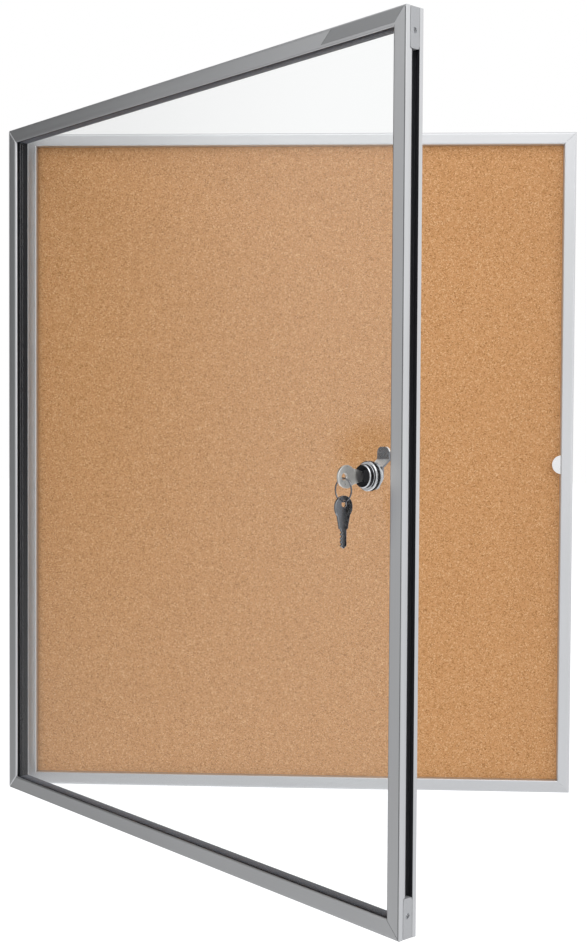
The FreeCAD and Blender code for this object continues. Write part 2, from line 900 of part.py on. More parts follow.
def make_cam():
    """Bent cam on the square tail, standing upright, with its screw."""
    thick = cam_thickness
    root_front = cam_front
    tip_front = -(pane_front + door_gap + case_skin + strike_fit + strike_thickness
                  + cam_strike_clearance)
    half = cam_width / 2
    bend = cam_root_reach + cam_joggle_run
    slope = math.hypot(cam_joggle_run, root_front - tip_front)
    rise = thick * cam_joggle_run / slope
    side_view = [
        (-half, root_front - thick),
        (cam_root_reach - rise / 2, root_front - thick),
        (bend - rise / 2, tip_front - thick),
        (cam_length, tip_front - thick),
        (cam_length, tip_front),
        (bend + rise / 2, tip_front),
        (cam_root_reach + rise / 2, root_front),
        (-half, root_front),
    ]
    face = face_from(side_view, lambda height, out: at_lock(out, -half, height))
    strap = face.extrude(Vector(cam_width, 0, 0))
    tip = cam_tip_radius
    plan = [
        (-half, 0),
        ((0, -half), (half, 0)),
        (half, cam_length - tip),
        quarter_arc((half - tip, cam_length - tip), tip, 0, 90),
        (-half + tip, cam_length),
        quarter_arc((-half + tip, cam_length - tip), tip, 90, 180),
    ]
    deep = 2 * door_depth
    keeper = face_from(plan, lambda x, z: at_lock(-deep, x, z)).extrude(forward * 2 * deep)
    cam = strap.common(keeper)
    half_tail = core_tail_square / 2 + core_fit
    cam = cam.cut(box(lock_x - half_tail, lock_x + half_tail, at_lock(root_front + 1).y,
                      at_lock(root_front - thick - 1).y, -half_tail, half_tail))
    keep("cam", cam)
    head_front = root_front - thick
    shank = cam_screw_shank()
    head = lock_disc(cam_screw_head_radius, head_front - cam_screw_head_height, head_front)
    socket = hexagon(cam_screw_socket, head_front - cam_screw_head_height,
                     head_front - cam_screw_head_height / 2)
    keep("cam_screw", head.fuse(shank).cut(socket).removeSplitter())


# Keys and ring

def key_blank():
    """Key with its hole at the origin, its bow forward and its blade backward."""
    centre = key_hole_from_end - key_bow_radius
    bow_edge = centre + key_bow_radius
    shoulder = bow_edge - key_shoulder_from_end
    tip = shoulder - key_blade_length
    half = key_thickness / 2
    bow = cylinder(key_bow_radius, key_thickness, Vector(-half, -centre, 0), Vector(1, 0, 0))
    pitch = key_blade_length / (len(key_cut_depths) + 1)
    low = -key_blade_half
    outline = [
        (centre, key_neck_half),
        (shoulder, key_shoulder_half),
        (shoulder, key_blade_half),
        (tip + key_point_length, key_blade_half),
        (tip, 0),
        (tip + key_point_length, low),
    ]
    for step, depth in enumerate(key_cut_depths):
        middle = tip + key_point_length + pitch * (step + 0.5)
        outline += [
            (middle - key_cut_half, low),
            (middle, low + depth),
            (middle + key_cut_half, low),
        ]
    outline += [(shoulder, low), (shoulder, -key_shoulder_half), (centre, -key_neck_half)]
    face = face_from(outline, lambda out, height: Vector(-half, -out, height))
    blank = bow.fuse(face.extrude(Vector(key_thickness, 0, 0))).removeSplitter()
    start = Vector(-half - 1, 0, 0)
    blank = blank.cut(cylinder(key_hole_radius, key_thickness + 2, start, Vector(1, 0, 0)))
    bevel = key_hole_bevel
    wide = key_hole_radius + bevel
    for sign in (1, -1):
        blank = blank.cut(Part.makeCone(wide, key_hole_radius, bevel, Vector(sign * half, 0, 0),
                                        Vector(-sign, 0, 0)))
    return blank


def make_keys():
    """Key in the lock, the ring through its hole and the spare key on the ring."""
    blank = key_blank()
    hole_out = core_front + key_shoulder_gap + key_shoulder_from_end - key_hole_from_end
    key = blank.copy()
    key.translate(at_lock(hole_out))
    keep("key", key)
    ring_top = -(key_hole_radius - ring_wire_radius - ring_seat_gap)
    ring_middle = ring_top - ring_radius
    keep("key_ring", Part.makeTorus(ring_radius, ring_wire_radius,
                                    at_lock(hole_out, 0, ring_middle), forward))
    ring_bottom = ring_middle - ring_radius
    spare_hole = ring_bottom - (key_hole_radius - ring_wire_radius - spare_seat_gap)
    spare = blank.copy()
    spare.rotate(Vector(0, 0, 0), Vector(1, 0, 0), -90)
    spare.translate(at_lock(hole_out, 0, spare_hole))
    keep("spare_key", spare)
    return hole_out, ring_top, ring_bottom


door_nodes = (
    "door_", "gasket_", "pane", "lower_end_plug", "upper_end_plug", "plug_screws", "name_plate",
    "upper_hinge_door_leaf", "lower_hinge_door_leaf", "hinge_door_screws",
    "lock_", "wafer_springs", "cam", "key", "spare_key",
)


def open_door():
    """Turn everything that the door carries to the opening in the photograph."""
    for name, shape in nodes.items():
        if name.startswith(door_nodes):
            shape.rotate(hinge_axis, up, -rest_opening_deg)


def in_rest_pose(point):
    """A point of the shut door, where it lies with the door open."""
    marker = Part.Vertex(point)
    marker.rotate(hinge_axis, up, -rest_opening_deg)
    return marker.Point + from_middle


make_case()
make_panel()
make_hangers()
make_door_frame()
make_plugs()
make_name_plate()
make_hinges()
make_lock_body()
make_lock_core()
make_cam()
hole_out, ring_top, ring_bottom = make_keys()
open_door()

os.makedirs("parts", exist_ok=True)
for name, shape in nodes.items():
    shape.translate(from_middle)
    shape.exportStep("parts/" + name + ".step")
    print(name, len(shape.Solids), "solids, volume", round(shape.Volume, 1), shape.isValid())
print(len(nodes), "sub-parts")
print("hinge axis", [round(value, 3) for value in hinge_axis + from_middle])
for label, point in (
    ("lock axis", lock_axis),
    ("key hole", at_lock(hole_out)),
    ("ring top", at_lock(hole_out, 0, ring_top)),
    ("ring bottom", at_lock(hole_out, 0, ring_bottom)),
):
    print(label, [round(value, 3) for value in in_rest_pose(point)])
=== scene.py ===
# %% [markdown]
# # A lockable notice board
# A shallow aluminium case holds a cork panel. A glazed door on two hinges closes over it,
# and a small cam lock in the pane holds the door. The board was photographed from the front,
# with the door partly open, the key in its lock and the spare key hanging on a ring.
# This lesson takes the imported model, in which every piece has its true size and place, and
# gives each piece its finish. Pieces whose edges matter to the eye are built again as clean
# meshes in the same place.

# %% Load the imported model
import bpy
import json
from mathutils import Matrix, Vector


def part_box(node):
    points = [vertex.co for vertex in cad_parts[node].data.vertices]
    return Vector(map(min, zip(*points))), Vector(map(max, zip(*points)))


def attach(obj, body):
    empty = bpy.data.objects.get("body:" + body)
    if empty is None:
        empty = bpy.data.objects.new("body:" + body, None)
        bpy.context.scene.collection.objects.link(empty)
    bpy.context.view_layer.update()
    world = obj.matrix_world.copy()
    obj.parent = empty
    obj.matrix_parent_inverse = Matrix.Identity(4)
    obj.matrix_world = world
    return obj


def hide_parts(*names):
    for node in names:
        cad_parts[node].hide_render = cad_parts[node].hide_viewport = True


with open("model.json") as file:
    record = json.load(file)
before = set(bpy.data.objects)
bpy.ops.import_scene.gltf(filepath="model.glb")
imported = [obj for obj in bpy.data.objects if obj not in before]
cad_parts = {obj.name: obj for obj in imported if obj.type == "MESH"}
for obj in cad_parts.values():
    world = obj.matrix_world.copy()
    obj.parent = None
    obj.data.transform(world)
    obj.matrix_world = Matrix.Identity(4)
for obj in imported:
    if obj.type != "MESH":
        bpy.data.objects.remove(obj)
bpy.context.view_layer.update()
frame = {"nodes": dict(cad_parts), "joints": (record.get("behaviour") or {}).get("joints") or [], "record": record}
nodes = frame["nodes"]

# %% [markdown]
# The model is in metres, but a workshop drawing is in millimetres, so every size below is
# written in millimetres and multiplied once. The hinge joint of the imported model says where
# the door turns and how far it stands open, and one matrix then carries any piece from the
# shut door to the open one.

# %% Millimetres, and the place of the open door
import json
import math

import bmesh
import bpy
from mathutils import Matrix, Vector, noise

MM = 0.001
WIDTH, HEIGHT = 560, 670
CASE_FRONT, DOOR_BACK = -22.0, -22.3
joints = {joint["name"]: joint for joint in frame["joints"]}
swing = joints["door_swing"]
hinge = Vector(swing["pos_m"])
open_angle = math.radians(-swing["range_deg"][0])
door_open = (Matrix.Translation(hinge) @ Matrix.Rotation(-open_angle, 4, "Z")
             @ Matrix.Translation(-hinge))
print("the door stands open by", round(math.degrees(open_angle), 1), "degrees")

# %% [markdown]
# Colours are easiest to pick as the hex values that a screen shows. Blender's shaders work
# with linear light, so one function turns the one into the other.

# %% Colours
def linear(hex_colour):
    """Linear RGBA of an sRGB hex colour."""
    channels = [int(hex_colour[i:i + 2], 16) / 255 for i in (1, 3, 5)]
    return tuple(c / 12.92 if c <= 0.04045 else ((c + 0.055) / 1.055) ** 2.4
                 for c in channels) + (1.0,)

# %% [markdown]
# A material is a small graph of nodes. This one helper adds a node, sets its options, and
# either sets or links each of its inputs, so that a graph reads from top to bottom like a
# recipe. A new material gets a Principled shader, which covers metals, rubber and plastic.

# %% Node helper
def add(tree, kind, inputs=None, **settings):
    """Add a node; an input given as another node's output is linked, a value is set.

    An input is named, or counted from 0 where several share a name.
    """
    node = tree.nodes.new(kind)
    for name, value in settings.items():
        setattr(node, name, value)
    for name, value in (inputs or {}).items():
        if isinstance(value, bpy.types.NodeSocket):
            tree.links.new(value, node.inputs[name])
        else:
            node.inputs[name].default_value = value
    return node


def empty_tree(owner):
    """The node tree of a material or world, with nothing in it."""
    owner.use_nodes = True
    owner.node_tree.nodes.clear()
    return owner.node_tree


def new_material(name, inputs):
    """A material with one Principled shader; returns it, its node tree and the shader."""
    material = bpy.data.materials.new(name)
    tree = empty_tree(material)
    shader = add(tree, "ShaderNodeBsdfPrincipled", inputs)
    add(tree, "ShaderNodeOutputMaterial", {"Surface": shader.outputs[0]})
    return material, tree, shader

# %% [markdown]
# Real surfaces are never even. A few small recipes serve most pieces: a noise pattern whose
# marks have a size in millimetres, a value that drifts between two limits with it, a colour
# that runs through a few stops with it, and a bump that raises it. The patterns use the
# piece's own coordinates, so they stay on the piece when it moves.

# %% Uneven surfaces
def marks(tree, size_mm, stretch=(1, 1, 1), detail=2.0):
    """Noise whose marks are size_mm wide, made longer along an axis by its stretch."""
    place = add(tree, "ShaderNodeTexCoord")
    scale = [1 / (size_mm * MM * s) for s in stretch]
    scaled = add(tree, "ShaderNodeMapping", {"Vector": place.outputs["Object"], "Scale": scale})
    return add(tree, "ShaderNodeTexNoise", {"Vector": scaled.outputs[0], "Scale": 1.0,
                                           "Detail": detail}).outputs[0]


def remap(tree, value, start, end, low, high, how="LINEAR"):
    """A value that runs from low to high while another runs from start to end."""
    return add(tree, "ShaderNodeMapRange", {
        "Value": value, "From Min": start, "From Max": end, "To Min": low, "To Max": high},
        interpolation_type=how).outputs[0]


def between(tree, noise_value, low, high):
    """A value that runs from low to high as the noise does."""
    return remap(tree, noise_value, 0.3, 0.7, low, high)


def math_node(tree, how, first, second=0.0, **settings):
    """One sum, product or the like of two values."""
    return add(tree, "ShaderNodeMath", {0: first, 1: second}, operation=how, **settings).outputs[0]


def ramp(tree, fac, stops):
    """A colour that follows a value through (position, hex) stops."""
    node = add(tree, "ShaderNodeValToRGB", {"Fac": fac})
    while len(node.color_ramp.elements) < len(stops):
        node.color_ramp.elements.new(0.5)
    for element, (position, colour) in zip(node.color_ramp.elements, stops):
        element.position = position
        element.color = linear(colour)
    return node.outputs[0]


def mix_colours(tree, fac, first, second, how="MIX"):
    """Blend two colours; a Mix node has its colour inputs at places 6 and 7."""
    return add(tree, "ShaderNodeMix", {0: fac, 6: first, 7: second},
               data_type="RGBA", blend_type=how).outputs[2]


def raise_marks(tree, shader, fac, height_mm):
    """Stand a pattern up on the surface by a height."""
    node = add(tree, "ShaderNodeBump", {"Height": fac, "Distance": height_mm * MM})
    tree.links.new(node.outputs[0], shader.inputs["Normal"])

# %% [markdown]
# The bars are drawn through a die, which leaves faint lines along their length, and are then
# anodised, which turns the metal into an even satin. A metal has no colour of its own under
# the light: its base colour is what it mirrors. Long thin noise marks along the bar change
# the roughness a little, and the eye reads them as drawn metal.

# %% Anodised aluminium
def drawn_aluminium(name, colour, roughness):
    """Satin metal with fine lines along the piece's own X."""
    material, tree, shader = new_material(name, {"Metallic": 1.0})
    lines = marks(tree, 0.5, (600, 1, 1))
    tree.links.new(between(tree, lines, roughness - 0.04, roughness + 0.04),
                   shader.inputs["Roughness"])
    cloud = marks(tree, 60, (4, 1, 1))
    shade = ramp(tree, cloud, [(0.3, "#f6f6f6"), (0.7, "#ffffff")])
    tree.links.new(mix_colours(tree, 1.0, linear(colour), shade, "MULTIPLY"),
                   shader.inputs["Base Color"])
    raise_marks(tree, shader, lines, 0.002)
    return material


materials = {}
materials["anodised_case"] = drawn_aluminium("anodised_aluminium_light", "#d8d9db", 0.46)
materials["anodised_door"] = drawn_aluminium("anodised_aluminium", "#d6d7d9", 0.38)
materials["groove"] = drawn_aluminium("anodised_aluminium_in_shadow", "#55565a", 0.6)
print("bars:", materials["anodised_case"].name, "and", materials["anodised_door"].name)

# %% [markdown]
# Cork board is made of bark granules of about a millimetre, pressed and glued with a dark
# binder. A Voronoi texture splits the surface into such granules. Its random cell
# colour gives every granule its own brown, the distance to the cell's edge darkens the
# joints, and a finer noise gives the pores. Cork is dull, so its roughness is high.

# %% Pressed cork
GRANULES_PER_METRE, CRUMBS_PER_METRE, WOBBLES_PER_METRE = 1000.0, 1600.0, 900.0
WOBBLE = (1.2 * MM, 1.2 * MM, 1.2 * MM)
material, tree, shader = new_material("pressed_cork", {"Roughness": 0.9, "IOR": 1.45})
place = add(tree, "ShaderNodeTexCoord")
wobble = add(tree, "ShaderNodeTexNoise", {"Vector": place.outputs["Object"],
                                         "Scale": WOBBLES_PER_METRE})
warped = add(tree, "ShaderNodeVectorMath", {
    0: wobble.outputs["Color"], 1: WOBBLE, 2: place.outputs["Object"]},
    operation="MULTIPLY_ADD").outputs[0]
granules = add(tree, "ShaderNodeTexVoronoi", {"Vector": warped, "Scale": GRANULES_PER_METRE})
crumbs = add(tree, "ShaderNodeTexVoronoi", {"Vector": warped, "Scale": CRUMBS_PER_METRE})
tone = add(tree, "ShaderNodeSeparateColor", {"Color": granules.outputs["Color"]})
fine = add(tree, "ShaderNodeSeparateColor", {"Color": crumbs.outputs["Color"]})
brown = ramp(tree, tone.outputs[0], [(0.0, "#a27444"), (0.18, "#bf8d5a"), (0.5, "#c69262"),
                                     (0.82, "#cb9a6a"), (1.0, "#dbb084")])
speck = ramp(tree, fine.outputs[0], [(0.0, "#c0aa92"), (0.18, "#f0eae3"), (1.0, "#ffffff")])
tree.links.new(mix_colours(tree, 0.8, brown, speck, "MULTIPLY"), shader.inputs["Base Color"])
raise_marks(tree, shader, granules.outputs["Distance"], -0.1)
materials["cork"] = material
print("cork granules of about", 1 / GRANULES_PER_METRE / MM, "mm")

# %% [markdown]
# The pane is clear acrylic. Light is let through by transmission, bent by the index of
# refraction 1.49, and partly mirrored at its surface, which lays a pale veil over the cork
# behind it. A refracting sheet would throw a solid shadow, so the rays that only carry light
# to the cork pass straight through with a slight loss: that is what the mix with a
# transparent shader does.

# %% Clear acrylic
material, tree, shader = new_material("clear_acrylic_sheet", {
    "Base Color": linear("#fdfefe"), "IOR": 1.49, "Transmission Weight": 1.0})
wear = marks(tree, 40, detail=4.0)
tree.links.new(between(tree, wear, 0.0, 0.008), shader.inputs["Roughness"])
rays = add(tree, "ShaderNodeLightPath")
lighting = math_node(tree, "MAXIMUM", rays.outputs["Is Shadow Ray"],
                     rays.outputs["Is Diffuse Ray"])
clear = add(tree, "ShaderNodeBsdfTransparent", {"Color": linear("#f9fafa")})
shown = add(tree, "ShaderNodeMixShader", {0: lighting, 1: shader.outputs[0],
                                         2: clear.outputs[0]})
output = [node for node in tree.nodes if node.type == "OUTPUT_MATERIAL"][0]
tree.links.new(shown.outputs[0], output.inputs["Surface"])
materials["clear_acrylic"] = material

# %% [markdown]
# The small fittings are plated or moulded. One function makes a plated or bare metal whose
# roughness drifts a little, as handling and plating leave it. Chrome and nickel are nearly
# mirrors, zinc plating is duller and slightly blue, brass is yellow, and die-cast zinc is
# grey and grainy.

# %% Plated and bare metals
def metal(name, colour, roughness, spread=0.04, mark_mm=3.0, height_mm=0.0):
    """A metal with a drifting roughness and, if asked, a slightly uneven skin."""
    material, tree, shader = new_material(name, {"Metallic": 1.0, "Base Color": linear(colour)})
    cloud = marks(tree, mark_mm, detail=3.0)
    tree.links.new(between(tree, cloud, max(roughness - spread, 0.02), roughness + spread),
                   shader.inputs["Roughness"])
    if height_mm:
        raise_marks(tree, shader, cloud, height_mm)
    return material


materials["chrome"] = metal("chrome_plated_zinc", "#d2d3d6", 0.1, 0.03, 5.0, 0.004)
# Dark metal for the lock core, also used as the painted dark reflection on the chrome lock head.
materials["lock_core_metal"] = metal("dark_core_metal_and_painted_reflection", "#303134", 0.16, 0.05, 2.0)
materials["nickel_key"] = metal("nickel_plated_brass", "#eceae5", 0.3, 0.03, 2.5, 0.001)
# The spare key's nickel is painted darker: a painted dark reflection of the surroundings it faces.
materials["worn_nickel"] = metal("worn_nickel_plate", "#96989c", 0.18, 0.06, 2.5, 0.003)
materials["ring_steel"] = metal("spring_steel_wire", "#7b7b7f", 0.08, 0.04, 2.0)
materials["cam_steel"] = metal("pressed_plated_steel", "#ffffff", 0.26, 0.03, 4.0)
materials["bright_zinc"] = metal("bright_plated_zinc", "#f2f2f2", 0.3, 0.05, 4.0)
materials["zinc_plated_steel"] = metal("zinc_plated_steel", "#c6c9cd", 0.3, 0.08, 2.0)
materials["stainless_steel"] = metal("drawn_stainless_steel", "#c4c3c1", 0.25, 0.05, 2.0)
materials["hinge_zinc"] = metal("die_cast_hinge_zinc", "#bcbdc0", 0.42, 0.06, 1.5, 0.01)
materials["die_cast_zinc"] = metal("die_cast_corner_zinc", "#a9abae", 0.5, 0.06, 1.2, 0.02)
materials["plate_aluminium"] = metal("satin_plate_aluminium", "#b1b2b4", 0.42, 0.05, 0.6)
materials["screw_recess"] = metal("zinc_plate_in_shadow", "#1c1c1e", 0.5)
materials["wafer_brass"] = metal("stamped_brass", "#d6b56a", 0.28, 0.06, 2.0)

# %% [markdown]
# The cam is pressed from plated steel. Its flats get a darker grey, a painted dark reflection, and the slope
# between the two bends gets white, a painted highlight, with a duller roughness. The slope is where the surface,
# seen in the cam's own frame, doesn't stand upright.

# %% Bent cam
tree = materials["cam_steel"].node_tree
shader = tree.nodes["Principled BSDF"]
place = add(tree, "ShaderNodeTexCoord")
facing = add(tree, "ShaderNodeSeparateXYZ", {0: place.outputs["Normal"]})
FLAT, SLOPE = 0.15, 0.35
tilt = math_node(tree, "ABSOLUTE", facing.outputs[2])
flat_roughness = shader.inputs["Roughness"].links[0].from_socket
tree.links.new(remap(tree, tilt, FLAT, SLOPE, flat_roughness, 0.5), shader.inputs["Roughness"])
# Painted: the flats darker as a dark reflection, the slope white as a highlight.
tree.links.new(ramp(tree, tilt, [(FLAT, "#8d8e92"), (SLOPE, "#ffffff")]),
               shader.inputs["Base Color"])
print("the cam counts as sloping from", round(math.degrees(math.asin(SLOPE))), "degrees")

# %% [markdown]
# Galvanised sheet shows spangle, the crystals that the zinc grows as it cools. A Voronoi
# texture with 110 cells to the metre gives them: each crystal gets its own grey and its own
# roughness, so that they light up one by one as the sheet is turned.

# %% Galvanised sheet
CRYSTALS_PER_METRE = 110.0
material, tree, shader = new_material("galvanised_steel_sheet", {"Metallic": 1.0})
place = add(tree, "ShaderNodeTexCoord")
crystals = add(tree, "ShaderNodeTexVoronoi", {"Vector": place.outputs["Object"],
                                             "Scale": CRYSTALS_PER_METRE})
each = add(tree, "ShaderNodeSeparateColor", {"Color": crystals.outputs["Color"]})
tree.links.new(ramp(tree, each.outputs[0], [(0.0, "#a6abb0"), (1.0, "#c9cdd1")]),
               shader.inputs["Base Color"])
tree.links.new(between(tree, each.outputs[1], 0.32, 0.5), shader.inputs["Roughness"])
materials["galvanised_sheet"] = material
print("zinc crystals of about", round(1 / CRYSTALS_PER_METRE / MM), "mm")

# %% [markdown]
# The other materials don't mirror. Rubber is nearly black and dull with a fine grain, and a
# bloom on its skin greys it where it is seen at a flat angle, which is what a sheen does. The
# end plugs are a moulded grey plastic, the hinge washers are white nylon, and the board
# behind the cork is pressed from brown wood fibres, seen as a short felted noise.

# %% Rubber, plastic and fibreboard
def dull(name, dark, light, roughness, mark_mm, height_mm, ior=1.5, gloss=0.5):
    """A surface without mirror, coloured between two tones by its own grain."""
    material, tree, shader = new_material(name, {"Roughness": roughness, "IOR": ior,
                                                 "Specular IOR Level": gloss})
    grain = marks(tree, mark_mm, detail=4.0)
    tree.links.new(ramp(tree, grain, [(0.3, dark), (0.7, light)]), shader.inputs["Base Color"])
    raise_marks(tree, shader, grain, height_mm)
    return material


materials["black_rubber"] = dull("black_rubber", "#1d1d20", "#27272a", 0.75, 0.8, 0.02, 1.52,
                                 0.15)
skin = materials["black_rubber"].node_tree.nodes["Principled BSDF"].inputs
for name, value in (("Sheen Weight", 0.85), ("Sheen Roughness", 0.3),
                    ("Sheen Tint", linear("#d2ddf0"))):
    skin[name].default_value = value
materials["grey_plastic"] = dull("moulded_grey_plastic", "#a9aaac", "#b4b5b7", 0.42, 0.6, 0.01,
                                 1.46)
materials["nylon"] = dull("white_nylon", "#dddcd6", "#e8e7e2", 0.45, 0.6, 0.01, 1.53)
materials["fibreboard"] = dull("pressed_fibreboard", "#7b5a3a", "#94714d", 0.85, 0.7, 0.06, 1.5)
print(len(materials), "materials")

# %% [markdown]
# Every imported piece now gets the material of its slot. Real edges are never perfectly
# sharp, and the thin bright line that a rounded edge catches is what makes metal look solid,
# so there is a function that rounds them. It is used once all the new pieces are made.

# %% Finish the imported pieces
slots = {part["node"]: part["material_slot"] for part in frame["record"]["subparts"]}


def soften(piece, width_mm, angle_deg=35):
    """Round the edges of a piece that are sharper than an angle."""
    bevel = piece.modifiers.new("rounded edges", "BEVEL")
    bevel.width, bevel.segments, bevel.limit_method = width_mm * MM, 2, "ANGLE"
    bevel.angle_limit = math.radians(angle_deg)
    return bevel


for name, node in nodes.items():
    node.data.materials.clear()
    node.data.materials.append(materials[slots[name]])
print("materials set on", len(nodes), "packed pieces")

# %% [markdown]
# New pieces are made from lists of points and faces. This function makes the mesh object,
# puts it in place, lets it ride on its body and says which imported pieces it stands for, so
# that those are hidden and the material slot stays known.

# %% Piece helper
def piece(name, points, faces, body, stands_for, place=Matrix.Identity(4), smooth_deg=None):
    """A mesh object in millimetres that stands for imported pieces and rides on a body."""
    mesh = bpy.data.meshes.new(name)
    mesh.from_pydata([Vector(p) * MM for p in points], [], faces)
    mesh.validate()
    return finish_piece(name, mesh, body, stands_for, place, smooth_deg)


def finish_piece(name, mesh, body, stands_for, place, smooth_deg=None):
    """Turn a mesh into an object with its material, place and body."""
    made = bmesh.new()
    made.from_mesh(mesh)
    bmesh.ops.recalc_face_normals(made, faces=made.faces)
    made.to_mesh(mesh)
    made.free()
    item = bpy.data.objects.new(name, mesh)
    bpy.context.scene.collection.objects.link(item)
    item.matrix_world = place
    item.data.materials.append(materials[slots[stands_for[0]]])
    if smooth_deg:
        mesh.shade_smooth()
        mesh.set_sharp_from_angle(angle=math.radians(smooth_deg))
    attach(item, body)
    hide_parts(*stands_for)
    return item


def keep_flat(item):
    """Hold the shading of flat faces even beside smooth ones."""
    item.modifiers.new("flat faces stay flat", "WEIGHTED_NORMAL").keep_sharp = True

# %% [markdown]
# A frame of drawn bars is one section, cut to four lengths with 45 degree mitres. The
# section is a closed outline of points: u runs inward from the outer side of the board and
# the depth runs from front to back. Each bar is that outline at both ends, moved along the
# bar by u so that the cut is slanted, and joined by long faces. A sawn edge is broken with a
# file, so a smaller outline closes each end a little further out, and light catches on the
# sloping rim between the two. The rim is wider at the corners that were filed more. The
# same mesh is then turned by a quarter from side to side. Only the long edges are rounded, so
# these get a weight, and the bevel follows the weights.

# %% Mitred bars
SIDES = {"bottom_rail": (0, -WIDTH / 2, 0), "lock_stile": (-90, WIDTH / 2, 0),
         "top_rail": (180, WIDTH / 2, HEIGHT), "hinge_stile": (90, -WIDTH / 2, HEIGHT)}
FILED_DEPTH = 0.55  # of a rim, as a share of its width
SHARPEST = 0.8  # holds back the points of an inset outline at its sharp corners
LONG_EDGE = 0.14


def arc(u, depth, radius, start_deg, end_deg, steps=6):
    """Points along an arc of an outline."""
    turns = [math.radians(start_deg + (end_deg - start_deg) * i / steps) for i in range(steps + 1)]
    return [(u + radius * math.cos(t), depth + radius * math.sin(t)) for t in turns]


def side_place(side):
    """Matrix that carries a bar from the origin, along X, to its side of the frame."""
    turn, x, z = SIDES[side]
    return Matrix.Translation(Vector((x, 0, z)) * MM) @ Matrix.Rotation(math.radians(turn), 4, "Y")


def inset(outline, amount):
    """The same closed outline, moved inward by an amount."""
    area = sum(a[0] * b[1] - b[0] * a[1] for a, b in zip(outline, outline[1:] + outline[:1]))
    inward = 1 if area > 0 else -1
    moved = []
    for i, corner in enumerate(outline):
        here = Vector(corner)
        sides = [(here - Vector(outline[i - 1])).normalized(),
                 (Vector(outline[(i + 1) % len(outline)]) - here).normalized()]
        across = sum((Vector((-side.y, side.x)) * inward for side in sides), Vector((0, 0)))
        moved.append(tuple(here + across * amount / max(across.length_squared / 2, SHARPEST)))
    return moved


def mitred_bar(name, side, outline, y_of, body, rims, place=Matrix.Identity(4)):
    """One bar of a frame: its section, and the width of the sloping rim at either end."""
    length = WIDTH if side.endswith("rail") else HEIGHT
    count = len(outline)
    points = [(u, y_of(d), u) for u, d in inset(outline, rims[0] * FILED_DEPTH)]
    points += [(u + rims[0], y_of(d), u) for u, d in outline]
    points += [(length - u - rims[1], y_of(d), u) for u, d in outline]
    points += [(length - u, y_of(d), u) for u, d in inset(outline, rims[1] * FILED_DEPTH)]
    faces = [(row + i, row + (i + 1) % count, row + count + (i + 1) % count, row + count + i)
             for row in (count, 0, 2 * count) for i in range(count)]
    faces += [tuple(range(count)), tuple(range(4 * count - 1, 3 * count - 1, -1))]
    bar = piece(name, points, faces, body, [name.removeprefix("look_")],
                place @ side_place(side), smooth_deg=18)
    made = bmesh.new()
    made.from_mesh(bar.data)
    weight = made.edges.layers.float.new("bevel_weight_edge")
    for edge in made.edges:
        first, last = sorted(vert.index // count for vert in edge.verts)
        if (first, last) == (1, 2) and edge.calc_face_angle(0) > math.radians(35):
            edge[weight] = 1.0
    made.to_mesh(bar.data)
    made.free()
    soften(bar, LONG_EDGE).limit_method = "WEIGHT"
    keep_flat(bar)
    return bar

# %% [markdown]
# The case section is a shallow front box with rounded edges, a slot behind it that holds the
# cork panel, and a rear flange that lies on the wall. Its hollow inside can't be seen once
# the corners are closed, so the section is left solid.

# %% Case bars
case_outline = (arc(2.4, 2.4, 2.4, 180, 270) + arc(11.0, 1.5, 1.5, 270, 360) + [
    (12.5, 7.5), (1.6, 7.5), (1.6, 15), (9, 15), (9, 16.5), (1.6, 16.5),
    (1.6, 20.2), (12.5, 20.2), (12.5, 21.95), (0, 21.95)])
for side in SIDES:
    mitred_bar("look_case_" + side, side, case_outline, lambda d: CASE_FRONT + d, "case",
               rims=(0.35, 0.35))
print("case bars:", len(SIDES), "with", len(case_outline), "points in the section")

# %% [markdown]
# The door section has more to do. It has a flange and a round nose in front, a pocket for
# the rubber and the pane, and on its outer side a deep groove with a rounded lip, which takes
# the hinges at one side and the end plugs at the other. A fine line is drawn into the front
# beside the outer corner. Little light reaches the inside of the groove, that line, the
# narrow step where the nose holds the rubber and the joint at the lower free corner, so the
# faces there get a second, dark material. The faces of a bar are counted round its section:
# first those along its length, then those of the rim at its start and of the rim at its end.

# %% Door bars
LIP_BACK, LIP_REACH, LIP_HALF, LIP_MIDDLE = 2.52, 1.74, 2.0, 11.5
LIP_SINK, LIP_CURVE, LIP_TOP = 0.6, 12.0, 13.6
groove = [(0, 3.75), (LIP_BACK, 3.75), (LIP_BACK, 2.55), (5.4, 2.55), (5.4, 10.7),
          (LIP_BACK, 10.7), (LIP_BACK, LIP_MIDDLE - LIP_HALF)]
lip_end = [(LIP_BACK - LIP_REACH * math.sin(t * math.pi / 10),
            LIP_MIDDLE - LIP_HALF * math.cos(t * math.pi / 10)) for t in range(1, 6)]
lip = [(LIP_SINK + LIP_CURVE - math.sqrt(LIP_CURVE ** 2 - (LIP_TOP - v) ** 2), v)
       for v in (12.3, 13.0, LIP_TOP)]
fine_line = [(1.0, 17.5), (1.15, 17.25), (1.5, 17.5)]
door_outline = ([(0, 0)] + groove + lip_end + lip + [(0, LIP_TOP)]
                + arc(0.5, 17.0, 0.5, 180, 90, 3) + fine_line + arc(11.5, 15.5, 2.0, 90, 0)
                + [(7, 15.5), (7, 10), (11.5, 10), (11.5, 0)])
count = len(door_outline)
start_rim, end_rim = list(range(count, 2 * count)), list(range(2 * count, 3 * count))
nose_end = door_outline.index((13.5, 15.5))
nose_faces = [nose_end - 1, nose_end - 2]
line_faces = [door_outline.index(point) for point in fine_line[:2]]
always_dark = list(range(1, len(groove) + 1)) + [nose_end]
also_dark = {"bottom_rail": nose_faces + end_rim, "lock_stile": line_faces + start_rim,
             "top_rail": nose_faces, "hinge_stile": []}
FILED_MUCH, FILED_LITTLE = 0.8, 0.25
door_rims = {"bottom_rail": (FILED_MUCH, FILED_LITTLE), "lock_stile": (FILED_LITTLE, FILED_LITTLE),
             "top_rail": (FILED_LITTLE, FILED_MUCH), "hinge_stile": (FILED_MUCH, FILED_MUCH)}
